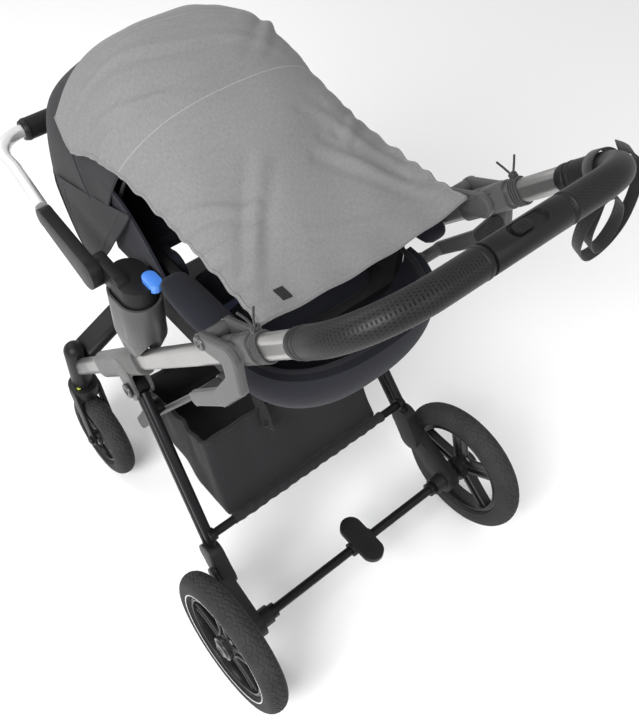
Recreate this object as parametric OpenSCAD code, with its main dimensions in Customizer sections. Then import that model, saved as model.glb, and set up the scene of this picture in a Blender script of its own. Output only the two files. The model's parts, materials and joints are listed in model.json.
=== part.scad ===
// Four-wheel all-terrain pushchair with a parent-facing seat, hood and sunshade.
// +X is the pusher's right, +Y the travel direction, +Z up. Millimetres.
// The ground is z = 0. Y places are written from the rear axle and the whole
// model is then shifted so that its box is centred on the origin.

/* [Frame] */
// Half distance between the two main tubes
tube_x = 218; // [214:1:222]
// Width of the oval main tube
tube_w = 22; // [20:1:24]
// Height of the oval main tube
tube_h = 34; // [30:1:36]
// Distance of the push bar's middle past the fold joint, along the tube
push_len = 290; // [270:1:310]
// Radius of the push bar's two corners
push_corner = 95; // [80:1:105]

/* [Wheels] */
// Radius of a rear wheel
rear_r = 145; // [140:1:150]
// Half distance between the rear wheels' middles
rear_x = 293; // [290:1:300]
// Width of a rear tyre
rear_w = 46; // [42:1:50]
// Radius of a front wheel
front_r = 99; // [95:1:103]
// Width of a front tyre
front_w = 42; // [38:1:44]
// How far a front wheel trails behind its swivel
trail = 45; // [40:1:50]

/* [Seat] */
// Height of the seat joint's axis
seat_z = 745; // [740:1:755]
// Half width of the hood
hood_x = 185; // [180:1:187]
// Radius of the hood about its hinge
hood_r = 234; // [225:1:236]

/* [Bumper bar] */
// Distance of the bumper bar's middle ahead of the rear axle
bumper_y = 666; // [660:1:675]
// Radius of the bumper bar's grip
bumper_grip_r = 18; // [16:1:20]

/* [Hidden] */

$fn = 48;
left = -1;
right = 1;
fit = 0.05;
air = 0.4;

// The main tube's axis, [y, z] from its front end to the fold joint
tube_front = [600, 280];
tube_back = [36, 868];
tube_tilt = atan2(tube_front[0] - tube_back[0], tube_back[1] - tube_front[1]);
tube_len = norm(tube_back - tube_front);
along = [-sin(tube_tilt), cos(tube_tilt)];
above = [cos(tube_tilt), sin(tube_tilt)];

// A point [y, z] at a distance along the tube and a height above its axis
function on_tube(s, n) = tube_front + s * along + n * above;

// Pivots of the fold, each [y, z]; the four make a parallelogram
fold_pin = on_tube(769, 26);
leg_pin = on_tube(330, -44);
link_top = on_tube(638, -56);
link_low = leg_pin + link_top - fold_pin;
leg_foot = [97, 193];
leg_foot_x = 238;
twin = 10.5;
leg_r = 9;
axle = [0, rear_r];
basket_bar_at = [137, 266];

// Push bar
grip_r = 19;
bar_r = 13;
push_s = tube_len + push_len;
grip_s = 976;
push_at = on_tube(push_s, 0);
housing_x = 58;

// Seat and hood
seat_pin = [306, seat_z];
seat_pin_r = 8;
hood_pin = [410, seat_z + 27];
hood_cloth = 3;
hood_gap = 1.5;
hood_start = -4;
hood_split = 51;
hood_edge = 109;
hub_in = 168;
hub_out = 240;
hub_top = 772;
cup_x = 212;
cup_top = 742;
button_at = [196, 278];
button = [22, 34];
button_z = 765;
button_travel = 4;

// Bumper bar
bumper_pin = [358, 764];
bumper_arm_end = [470, 790];
bumper_arm_w = 19;
bumper_x = 236;
bumper_z = 795;
bumper_corner = 52;
bumper_tube_r = 11;
bumper_grip_x = 182;

// Front wheels
swivel_y = tube_front[0];
front_axle = [swivel_y - trail, front_r];

// Shift that centres the box between the bumper's front and the push bar's back
y_mid = (bumper_y + bumper_grip_r + push_at[0] - grip_r) / 2;

// ---- helpers ----

module placed() {
    translate([0, -y_mid, 0]) children();
}

// The children are drawn for the right side
module on_side(side) {
    mirror([side < 0 ? 1 : 0, 0, 0]) children();
}

module for_sides() {
    for (side = [left, right]) on_side(side) children();
}

// Local X stays across, Y points above the tube, Z runs along it
module at_tube(x, s) {
    translate([x, tube_front[0], tube_front[1]]) rotate([tube_tilt, 0, 0])
        translate([0, 0, s]) children();
}

// A flat outline drawn in [y, z] and given a thickness from x outwards
module plate(x, thick) {
    translate([x, 0, 0]) rotate([90, 0, 90]) linear_extrude(thick) children();
}

// Turns what is drawn about local Z into something about X at [y, z]
module about_x(at) {
    translate([0, at[0], at[1]]) rotate([90, 0, 90]) children();
}

// A cylinder across the object at [y, z]
module pin(at, x0, x1, r) {
    translate([x0, at[0], at[1]]) rotate([0, 90, 0]) cylinder(h = x1 - x0, r = r);
}

// A cylinder between two points
module rod(p, q, r) {
    d = q - p;
    translate(p) rotate([0, acos(d[2] / norm(d)), atan2(d[1], d[0])]) cylinder(h = norm(d), r = r);
}

// An oval: w across, h the longer way
module oval(w, h) {
    square([w, h - w], center = true);
    for (end = [-1, 1]) translate([0, end * (h - w) / 2]) circle(d = w);
}

// A flat bar in [y, z] with a round end at each point
module bar(p, q, r_p, r_q) {
    d = q - p;
    translate(p) circle(r = r_p);
    translate(q) circle(r = r_q);
    web_p = r_p - 0.8;
    web_q = r_q - 0.8;
    translate(p) rotate(atan2(d[1], d[0]))
        polygon([[0, -web_p], [norm(d), -web_q], [norm(d), web_q], [0, web_p]]);
}

// Points round a bend in the local XY plane
function bend_points(centre, r, from, to) =
    [for (i = [0:10]) let (a = from + (to - from) * i / 10) centre + r * [cos(a), sin(a)]];

// A tube swept along points that lie in the local XY plane
module flat_sweep(path, r, sides = 8) {
    last = len(path) - 1;
    tangent = [for (i = [0:last]) path[min(i + 1, last)] - path[max(i - 1, 0)]];
    points = [for (i = [0:last], k = [0:sides - 1])
        let (t = tangent[i] / norm(tangent[i]), a = 360 * k / sides)
        [path[i][0] - r * cos(a) * t[1], path[i][1] + r * cos(a) * t[0], r * sin(a)]];
    walls = [for (i = [0:last - 1], k = [0:sides - 1])
        let (j = (k + 1) % sides, a = i * sides, b = a + sides)
        [a + k, b + k, b + j, a + j]];
    caps = [[for (k = [0:sides - 1]) k], [for (k = [sides - 1:-1:0]) last * sides + k]];
    polyhedron(points, concat(walls, caps), convexity = 8);
}

// ---- frame ----

module main_tube(side) {
    placed() on_side(side) color("silver") difference() {
        at_tube(tube_x, 0) linear_extrude(tube_len) difference() {
            oval(tube_w, tube_h);
            oval(tube_w - 4, tube_h - 4);
        }
        translate([tube_x, swivel_y, 200]) cylinder(h = 200, r = 21);
    }
}

module casting(side) {
    cheek = 5.5;
    sleeve_at = 205;
    sleeve_len = 220;
    sleeve_w = tube_w + 12;
    placed() on_side(side) color("dimgray") difference() {
        union() {
            at_tube(tube_x, sleeve_at) linear_extrude(sleeve_len) oval(sleeve_w, tube_h + 16);
            for (x = [tube_x - sleeve_w / 2 - 0.5, tube_x + sleeve_w / 2 + 0.5 - cheek])
                plate(x, cheek) bar(leg_pin, on_tube(338, -12), 22, 26);
            pin(leg_pin, tube_x - 20, tube_x + 20, 6);
        }
        at_tube(tube_x, sleeve_at - 5) linear_extrude(sleeve_len + 10) oval(tube_w, tube_h);
    }
}

// Post with an oval cup that takes the seat
module adapter(side) {
    cup_low = 663;
    floor_z = 676;
    wall = 4;
    cup = [68, 92];
    placed() on_side(side) color("gray") difference() {
        union() {
            hull() {
                translate([tube_x - 2, 318, 600]) linear_extrude(2) oval(30, 66, $fn = 32);
                translate([cup_x, seat_pin[0], cup_low - 1]) linear_extrude(2)
                    oval(cup[0], cup[1], $fn = 32);
            }
            translate([cup_x, seat_pin[0], cup_low]) linear_extrude(cup_top - cup_low)
                oval(cup[0], cup[1]);
        }
        translate([cup_x, seat_pin[0], floor_z]) linear_extrude(cup_top - floor_z + 1)
            oval(cup[0] - 2 * wall, cup[1] - 2 * wall);
        at_tube(tube_x, 205) linear_extrude(420) oval(tube_w + 12, tube_h + 16);
        pin(seat_pin, hub_in - 2, hub_in + 24, 21);
    }
}

// Plug of the seat in the cup, with the seat's joint and the bumper bar's hinge
module seat_hub(side) {
    plug_low = 677;
    plug = [56, 80];
    boss_r = 20;
    lug = 18;
    button_gap = 0.8;
    placed() on_side(side) color("black") difference() {
        union() {
            translate([cup_x, seat_pin[0], plug_low]) linear_extrude(hub_top - plug_low)
                oval(plug[0], plug[1]);
            pin(seat_pin, hub_in, 192, boss_r);
            plate(hub_out - lug - 0.5, lug) bar([312, bumper_pin[1]], bumper_pin, 17, 20);
        }
        pin(seat_pin, hub_in - 1, hub_in + 32, seat_pin_r + fit);
        pin(bumper_pin, hub_out - 14, hub_out + 1, seat_pin_r + fit);
        translate([button_at[0], button_at[1], button_z - button_travel - 1])
            linear_extrude(20) oval(button[0] + button_gap, button[1] + button_gap);
    }
}

module release_button(side) {
    placed() on_side(side) color("royalblue")
        translate([button_at[0], button_at[1], button_z]) linear_extrude(15) oval(button[0], button[1]);
}

module front_bridge() {
    stations = [[-200, 600, 318], [-110, 612, 350], [110, 612, 350], [200, 600, 318]];
    placed() color("black") difference() {
        for (i = [0:2]) hull() {
            for (p = [stations[i], stations[i + 1]])
                translate(p) rotate([90, 0, 90]) linear_extrude(1) rotate(90) oval(26, 58, $fn = 32);
        }
        for_sides() translate([tube_x, swivel_y, 200]) cylinder(h = 200, r = 21);
    }
}

module swivel(side) {
    placed() on_side(side) color("black") difference() {
        translate([tube_x, swivel_y, 236]) {
            cylinder(h = 94, r = 21);
            translate([0, 0, 94]) sphere(r = 21);
        }
        translate([tube_x, swivel_y, 235]) cylinder(h = 87, r = 8 + fit);
    }
}

module hinge_base(side) {
    base_at = 765;
    placed() on_side(side) color("gray") difference() {
        union() {
            at_tube(tube_x, base_at) linear_extrude(tube_len - base_at) oval(tube_w + 6, tube_h + 8);
            pin(fold_pin, tube_x - 14, tube_x + 14, 11);
        }
        at_tube(tube_x, 700) linear_extrude(200) oval(tube_w, tube_h);
        pin(fold_pin, tube_x - 20, tube_x + 20, 4.5 + fit);
    }
}

// ---- push bar ----

// Half of the push bar's line in the tubes' plane, from a start to a distance off its middle
function push_line(start, end_x) =
    let (centre = [tube_x - push_corner, push_s - push_corner])
    concat([[tube_x, start]], bend_points(centre, push_corner, 0, 90), [[end_x, push_s]]);

// Sweeps a tube along a line given as [x, distance along the tube]
module in_push_plane(path, r) {
    at_tube(0, 0) rotate([90, 0, 0]) flat_sweep(path, r, 16);
}

module handle_bar() {
    start = tube_len + 0.8;
    half = push_line(grip_s - 5, 1);
    other = [for (i = [len(half) - 1:-1:0]) [-half[i][0], half[i][1]]];
    placed() color("silver") {
        for_sides() at_tube(tube_x, start) linear_extrude(grip_s - start) oval(tube_w, tube_h);
        in_push_plane(concat(half, other), bar_r);
    }
}

module grip(side) {
    placed() on_side(side) color("black") difference() {
        in_push_plane(push_line(grip_s, housing_x), grip_r);
        in_push_plane(push_line(grip_s - 1, housing_x - 1), bar_r + 0.3);
    }
}

module grip_housing() {
    placed() color("black") difference() {
        pin(push_at, -housing_x, housing_x, grip_r);
        pin(push_at, -housing_x - 1, housing_x + 1, bar_r + 0.3);
        translate([0, push_at[0], push_at[1] + 14]) linear_extrude(10) rotate(90) oval(20, 56);
    }
}

module fold_slider() {
    placed() color("dimgray")
        translate([-8, push_at[0], push_at[1] + 14.2]) linear_extrude(4.4) rotate(90) oval(15, 26);
}

module hinge_arm(side) {
    arm_x = tube_x + 14.4;
    start = tube_len + 0.8;
    knee = [on_tube(824, 0), on_tube(800, -37), on_tube(735, -54)];
    placed() on_side(side) color("gray") {
        difference() {
            at_tube(tube_x, start) linear_extrude(48) oval(tube_w + 8, tube_h + 8);
            at_tube(tube_x, 800) linear_extrude(100) oval(tube_w, tube_h);
        }
        plate(tube_x - 24.4, 10) bar(fold_pin, knee[0], 12, 18);
        plate(arm_x, 11) {
            bar(fold_pin, knee[0], 12, 18);
            bar(knee[0], knee[1], 17.5, 16);
            bar(knee[1], knee[2], 15.5, 13);
            bar(knee[2], link_top, 12.5, 11);
        }
        pin(fold_pin, tube_x - 22, tube_x + 22, 4.5);
        pin(link_top, 199, arm_x + 1, 10);
        pin(link_top, 183, arm_x + 2, 5.8);
    }
}

// Elastic cord wound round each push bar tube, holding the shade's corners
module shade_ties() {
    placed() color("black") for_sides()
        for (turn = [0:3]) at_tube(tube_x, 872 + 5 * turn)
            rotate_extrude() translate([21, 0]) circle(r = 2, $fn = 16);
}

// A flat webbing loop that hangs under the push bar's right corner
module wrist_strap() {
    loop = 50;
    drop = 82;
    webbing = 2;
    top_z = push_at[1] - grip_r - 13;
    placed() color("black") translate([150, push_at[0] + 8, top_z - drop / 2])
        rotate([90, 0, 90]) linear_extrude(22) difference() {
            oval(loop, drop);
            oval(loop - 2 * webbing, drop - 2 * webbing);
        }
}

// ---- rear frame ----

function leg_point(t) = let (d = leg_foot - leg_pin) leg_pin + t * d / norm(d);
leg_len = norm(leg_foot - leg_pin);
function leg_x(t) = tube_x + (leg_foot_x - tube_x) * t / leg_len;

module leg_tubes(side, from) {
    d = (leg_foot - leg_pin) / leg_len;
    for (offset = [-twin, twin]) {
        p = leg_point(from) + offset * [d[1], -d[0]];
        q = leg_point(leg_len - 2) + offset * [d[1], -d[0]];
        on_side(side) rod([leg_x(from), p[0], p[1]], [leg_x(leg_len), q[0], q[1]], leg_r);
    }
}

module rear_leg(side) {
    crank = leg_point(48);
    placed() color([0.13, 0.13, 0.14]) {
        leg_tubes(side, 12);
        on_side(side) {
            difference() {
                pin(leg_pin, tube_x - 11, tube_x + 11, 17.5);
                pin(leg_pin, tube_x - 12, tube_x + 12, 6 + fit);
            }
            pin(basket_bar_at, 223, 236, 12);
            plate(199.5, 14) bar(crank, link_low, 14, 12);
            pin(link_low, 183, 201, 6);
        }
    }
}

module basket_bar() {
    placed() color("black") pin(basket_bar_at, -222.8, 222.8, 8);
}

module axle_tube() {
    placed() color("black") {
        pin(axle, -209, 209, 9);
        for_sides() pin(axle, 196, 209, 14);
    }
}

module hub_carrier(side) {
    d = (leg_foot - leg_pin) / leg_len;
    end = leg_foot + 2 * d;
    placed() color("black") difference() {
        on_side(side) {
            plate(leg_foot_x - 13, 26) bar(end, leg_point(leg_len - 45), 24, 24);
            plate(leg_foot_x - 6, 25) bar(leg_foot, axle, 21, 27);
            pin(axle, 209.2, 266, 18);
            pin(axle, 260, rear_x + 22, 6);
        }
        leg_tubes(side, 12);
    }
}

// One rocking paddle on the axle tube, pressed in front or behind
module brake_pedal() {
    placed() color("black") difference() {
        union() {
            pin(axle, -12, 42, 14);
            translate([15, 0, axle[1] + 6]) linear_extrude(12) oval(44, 104);
        }
        pin(axle, -13, 43, 9 + fit);
    }
}

// ---- wheels ----

module tyre(r, w, seat_r) {
    rotate_extrude($fn = 96) intersection() {
        translate([r - w / 2, 0]) circle(d = w);
        translate([seat_r, -w]) square([r, 2 * w]);
    }
}

module rim(r, w, hub, bore, half_hub) {
    spokes = 5;
    spread = hub * 0.36;
    difference() {
        union() {
            rotate_extrude($fn = 96) translate([r - 9, -w / 2]) square([9, w]);
            translate([0, 0, -half_hub]) cylinder(h = 2 * half_hub, r = hub);
            for (i = [0:spokes - 1], twin = [-1, 1]) rotate(360 * i / spokes)
                translate([hub - 6, twin * spread - 3.5, -7]) cube([r - hub, 7, 14]);
        }
        translate([0, 0, -half_hub - 1]) cylinder(h = 2 * half_hub + 2, r = bore);
    }
}

module rear_tyre(side) {
    placed() on_side(side) color([0.16, 0.16, 0.17])
        translate([rear_x, 0, 0]) about_x(axle) tyre(rear_r, rear_w, 106);
}

module rear_rim(side) {
    placed() on_side(side) color([0.1, 0.1, 0.1])
        translate([rear_x, 0, 0]) about_x(axle) rim(106, 30, 24, 6 + fit, 22);
}

module front_tyre(side) {
    placed() on_side(side) color([0.16, 0.16, 0.17])
        translate([tube_x, 0, 0]) about_x(front_axle) tyre(front_r, front_w, 66);
}

module front_rim(side) {
    placed() on_side(side) color([0.1, 0.1, 0.1])
        translate([tube_x, 0, 0]) about_x(front_axle) rim(66, 28, 17, 5 + fit, 21);
}

module front_fork(side) {
    arm_in = 23.5;
    placed() on_side(side) color("black") {
        translate([tube_x, swivel_y, 204]) cylinder(h = 26, r = 30);
        translate([tube_x, swivel_y, 228]) cylinder(h = 90, r = 8);
        for (x = [tube_x - arm_in - 6, tube_x + arm_in])
            plate(x, 6) bar([swivel_y - 6, 214], front_axle, 14, 14);
        pin(front_axle, tube_x - 33, tube_x + 33, 5);
    }
}

// ---- links of the fold ----

module link(side) {
    link_x = 191;
    placed() on_side(side) color("gray") difference() {
        union() {
            rod([link_x, link_top[0], link_top[1]], [link_x, link_low[0], link_low[1]], 6);
            for (at = [link_top, link_low]) pin(at, link_x - 7, link_x + 7, 12);
        }
        pin(link_top, link_x - 9, link_x + 9, 5.8 + air);
        pin(link_low, link_x - 9, link_x + 9, 6 + fit);
    }
}

// ---- seat ----

module seat_tub() {
    wall = 15;
    placed() color([0.12, 0.12, 0.14]) {
        translate([-152, 132, 655]) cube([304, 200, 15]);
        for_sides() difference() {
            union() {
                plate(152, wall) polygon([[132, 655], [332, 655], [336, 700], [336, 776], [132, 776]]);
                pin(seat_pin, 152, 152 + wall, 31);
            }
            pin(seat_pin, 151, 169, seat_pin_r + fit);
        }
    }
}

module seat_cushion() {
    placed() color([0.1, 0.1, 0.12]) translate([-128, 136, 670.3]) cube([256, 190, 28]);
}

module harness() {
    top = 698.6;
    placed() color("darkslateblue") {
        translate([-20, 196, top]) cube([40, 46, 16]);
        for_sides() translate([15, 206, top]) cube([110, 25, 3]);
    }
}

module arm_rail(side) {
    placed() on_side(side) color([0.14, 0.15, 0.19])
        translate([180, 168, 776.5]) linear_extrude(24) oval(46, 178);
}

module backrest() {
    placed() color([0.1, 0.1, 0.12]) {
        translate([-147, 364, seat_z - 22]) cube([294, 272, 30]);
        for_sides() {
            plate(133, 14) bar(seat_pin, [372, seat_z - 6], 26, 16);
            pin(seat_pin, 134, 196, seat_pin_r);
        }
    }
}

// Rounded end of the seat where the feet rest, open above and towards the seat
module leg_rest() {
    low = 640;
    top = 738;
    floor_t = 22;
    front = 126;
    placed() color([0.14, 0.15, 0.19]) difference() {
        translate([0, 0, low]) linear_extrude(top - low) hull() for_sides() {
            translate([104, 68]) circle(r = 60, $fn = 32);
            translate([144, front - 8]) square([20, 8]);
        }
        translate([0, 0, low + floor_t]) linear_extrude(top - low) hull() for_sides() {
            translate([98, 76]) circle(r = 46, $fn = 32);
            translate([124, front + 4]) square([20, 8]);
        }
    }
}

module basket() {
    outer = [[148, 262], [160, 250], [430, 250], [442, 262], [442, 345], [214, 420]];
    inner = [[154.5, 264], [163, 256], [427, 256], [436, 264], [436, 500], [256, 500]];
    placed() color([0.15, 0.15, 0.16]) difference() {
        plate(-172, 344) polygon(outer);
        plate(-167, 334) polygon(inner);
    }
}

module shade() {
    placed() color("darkgray") plate(-180, 360) polygon([[54, 877], [350, 902], [350, 905], [54, 880]]);
}

// ---- hood ----

// A point of the hood's rounded outline: [distance from the hinge line, across]
function hood_point(r, half, a) =
    [r * pow(sin(a), 0.77), -half * sign(cos(a)) * pow(abs(cos(a)), 0.77)];

module hood_cloth_shell(r, half, from, to) {
    first = 4;
    outer = [for (i = [0:24]) hood_point(r, half, first + (180 - 2 * first) * i / 24)];
    inner = [for (i = [24:-1:0])
        hood_point(r - hood_cloth, half - hood_cloth, first + (180 - 2 * first) * i / 24)];
    about_x(hood_pin) rotate(from) rotate_extrude(angle = to - from) polygon(concat(outer, inner));
}

module hood_bow(angle, r, half, disc_x) {
    first = 3;
    path = [for (i = [0:36]) hood_point(r, half, first + (180 - 2 * first) * i / 36)];
    about_x(hood_pin) rotate(angle) rotate([90, 0, 0]) flat_sweep(path, 3);
    for_sides() difference() {
        pin(hood_pin, disc_x, disc_x + 5, 13);
        pin(hood_pin, disc_x - 1, disc_x + 6, 5 + fit);
    }
}

module hood_rear() {
    placed() color([0.22, 0.22, 0.23]) hood_cloth_shell(hood_r, hood_x, hood_start, hood_split);
}

module hood_front() {
    step = hood_cloth + hood_gap;
    placed() color([0.22, 0.22, 0.23])
        hood_cloth_shell(hood_r - step, hood_x - step, hood_split - 1, hood_edge);
}

module hood_bow_front() {
    placed() color("black") hood_bow(hood_edge - 1, hood_r - 12, hood_x - 13, 170);
}

module hood_bow_mid() {
    placed() color("black") hood_bow(75, hood_r - 12, hood_x - 20, 164.5);
}

module hood_hinges() {
    placed() color("black") for_sides() {
        plate(148.2, 15) bar([378, seat_z - 4], hood_pin, 12, 14);
        pin(hood_pin, 150, 178, 5);
    }
}

// ---- bumper bar ----

module bumper_arms() {
    placed() color("black") for_sides() {
        plate(hub_out + 0.6, bumper_arm_w) bar(bumper_pin, bumper_arm_end, 25, 15);
        pin(bumper_pin, hub_out - 12, hub_out + 6, seat_pin_r);
    }
}

module bumper_tube() {
    start = bumper_arm_end[0] + 15.5;
    centre = [bumper_x - bumper_corner, bumper_y - bumper_corner];
    half = concat([[249, start], [bumper_x, 590]],
        bend_points(centre, bumper_corner, 0, 90), [[1, bumper_y]]);
    other = [for (i = [len(half) - 1:-1:0]) [-half[i][0], half[i][1]]];
    placed() color("gainsboro") translate([0, 0, bumper_z])
        flat_sweep(concat(half, other), bumper_tube_r, 16);
}

module bumper_grip() {
    placed() color("black") difference() {
        pin([bumper_y, bumper_z], -bumper_grip_x, bumper_grip_x, bumper_grip_r);
        pin([bumper_y, bumper_z], -bumper_grip_x - 1, bumper_grip_x + 1, bumper_tube_r);
    }
}

main_tube(left);  // main_tube_left
main_tube(right);  // main_tube_right
casting(left);  // casting_left
casting(right);  // casting_right
adapter(left);  // adapter_left
adapter(right);  // adapter_right
front_bridge();
swivel(left);  // swivel_left
swivel(right);  // swivel_right
hinge_base(left);  // hinge_base_left
hinge_base(right);  // hinge_base_right
seat_hub(left);  // seat_hub_left
seat_hub(right);  // seat_hub_right
seat_tub();
seat_cushion();
arm_rail(left);  // arm_rail_left
arm_rail(right);  // arm_rail_right
harness();
basket();
shade();
handle_bar();
grip(left);  // grip_left
grip(right);  // grip_right
grip_housing();
hinge_arm(left);  // hinge_arm_left
hinge_arm(right);  // hinge_arm_right
shade_ties();
wrist_strap();
fold_slider();
rear_leg(left);  // rear_leg_left
rear_leg(right);  // rear_leg_right
basket_bar();
axle_tube();
hub_carrier(left);  // hub_carrier_left
hub_carrier(right);  // hub_carrier_right
brake_pedal();
rear_tyre(left);  // rear_tyre_left
rear_rim(left);  // rear_rim_left
rear_tyre(right);  // rear_tyre_right
rear_rim(right);  // rear_rim_right
front_tyre(left);  // front_tyre_left
front_rim(left);  // front_rim_left
front_tyre(right);  // front_tyre_right
front_rim(right);  // front_rim_right
front_fork(left);  // front_fork_left
front_fork(right);  // front_fork_right
link(left);  // link_left
link(right);  // link_right
backrest();
hood_hinges();
hood_rear();
hood_front();
hood_bow_front();
hood_bow_mid();
bumper_arms();
bumper_tube();
bumper_grip();
leg_rest();
release_button(left);  // release_button_left
release_button(right);  // release_button_right
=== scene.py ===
# Looks of the pushchair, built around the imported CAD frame. Metres, same frame as the CAD.
import json
import math

import bmesh
import bpy
import numpy as np
from mathutils import Matrix, Vector


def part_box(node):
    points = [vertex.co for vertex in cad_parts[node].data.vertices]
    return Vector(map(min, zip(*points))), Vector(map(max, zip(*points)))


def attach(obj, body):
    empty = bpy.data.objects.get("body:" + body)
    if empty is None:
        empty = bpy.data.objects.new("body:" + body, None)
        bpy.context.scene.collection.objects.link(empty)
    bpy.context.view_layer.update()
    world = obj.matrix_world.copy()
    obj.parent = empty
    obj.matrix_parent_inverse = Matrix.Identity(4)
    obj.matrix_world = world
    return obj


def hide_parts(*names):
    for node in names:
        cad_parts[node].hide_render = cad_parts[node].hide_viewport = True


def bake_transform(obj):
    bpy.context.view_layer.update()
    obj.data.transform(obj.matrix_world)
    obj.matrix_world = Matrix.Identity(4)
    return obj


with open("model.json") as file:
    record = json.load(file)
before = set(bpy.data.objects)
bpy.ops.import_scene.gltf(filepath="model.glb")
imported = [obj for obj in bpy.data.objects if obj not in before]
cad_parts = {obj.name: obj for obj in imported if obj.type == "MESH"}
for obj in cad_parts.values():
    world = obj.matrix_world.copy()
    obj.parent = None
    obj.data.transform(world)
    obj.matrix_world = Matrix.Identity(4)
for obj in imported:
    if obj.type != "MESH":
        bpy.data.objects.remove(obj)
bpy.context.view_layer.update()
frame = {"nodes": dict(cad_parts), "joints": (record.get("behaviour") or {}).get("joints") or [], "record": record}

JOINT = {j["name"]: j for j in frame["joints"]}


def pivot(joint):
    return Vector(JOINT[joint]["pos_m"])


AXLE_Y = pivot("rear_wheel_left_spin").y
SEAT = pivot("backrest_recline")
HOOD = pivot("hood_fold")
FOLD = pivot("push_bar_fold")
LEG = pivot("frame_fold")


def at(x, y, z):
    """A point whose y is measured from the rear axle."""
    return Vector((x, y + AXLE_Y, z))


def middle_of(node):
    low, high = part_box(node)
    return (low + high) / 2


def added(name, data):
    """A new object of some data, in the scene."""
    obj = bpy.data.objects.new(name, data)
    bpy.context.scene.collection.objects.link(obj)
    return obj


def shade_smooth(mesh):
    mesh.polygons.foreach_set("use_smooth", [True] * len(mesh.polygons))


SIDES = ((-1, "left"), (1, "right"))

# The main tubes: foot, lean and length, distance from the middle, and the bar across their tops
TUBE_FOOT = at(0, 0.600, 0.280)
TILT = math.atan2(0.564, 0.588)
TUBE_LENGTH = math.hypot(0.564, 0.588)
TUBE_X = 0.218
ALONG = Vector((0, -math.sin(TILT), math.cos(TILT)))
ABOVE = Vector((0, math.cos(TILT), math.sin(TILT)))
BAR_MIDDLE = TUBE_FOOT + ALONG * (TUBE_LENGTH + 0.290)
CORNER_R = 0.095

SHADE_COLS = 97
FOOT_FRONT = 0.126
BASKET_COUNT = 160
# Cap's outer face, its radius, and the rim lip's radius and distance from the wheel's middle
HUBS = {"rear": (0.0222, 0.019, 0.0985, 0.0155), "front": (0.0335, 0.0095, 0.059, 0.0145)}


# ---------------------------------------------------------------- camera

CAMERA_AT = (-0.6178, -0.5316, 1.7079)
CAMERA_TURN = (-42.993, 51.057, 3.372)
LENS = 45.12


def make_camera():
    azimuth, elevation, roll = (math.radians(a) for a in CAMERA_TURN)
    back = Vector((math.sin(azimuth) * math.cos(elevation),
                   -math.cos(azimuth) * math.cos(elevation), math.sin(elevation)))
    across = Vector((0, 0, 1)).cross(back).normalized()
    up = back.cross(across)
    x_axis = across * math.cos(roll) + up * math.sin(roll)
    y_axis = up * math.cos(roll) - across * math.sin(roll)
    data = bpy.data.cameras.new("camera")
    data.lens, data.sensor_width = LENS, 36
    data.clip_start, data.clip_end = 0.05, 50
    camera = added("camera", data)
    turn = Matrix((x_axis, y_axis, back)).transposed().to_4x4()
    camera.matrix_world = Matrix.Translation(at(*CAMERA_AT)) @ turn
    bpy.context.scene.camera = camera


# ---------------------------------------------------------------- materials


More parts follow.
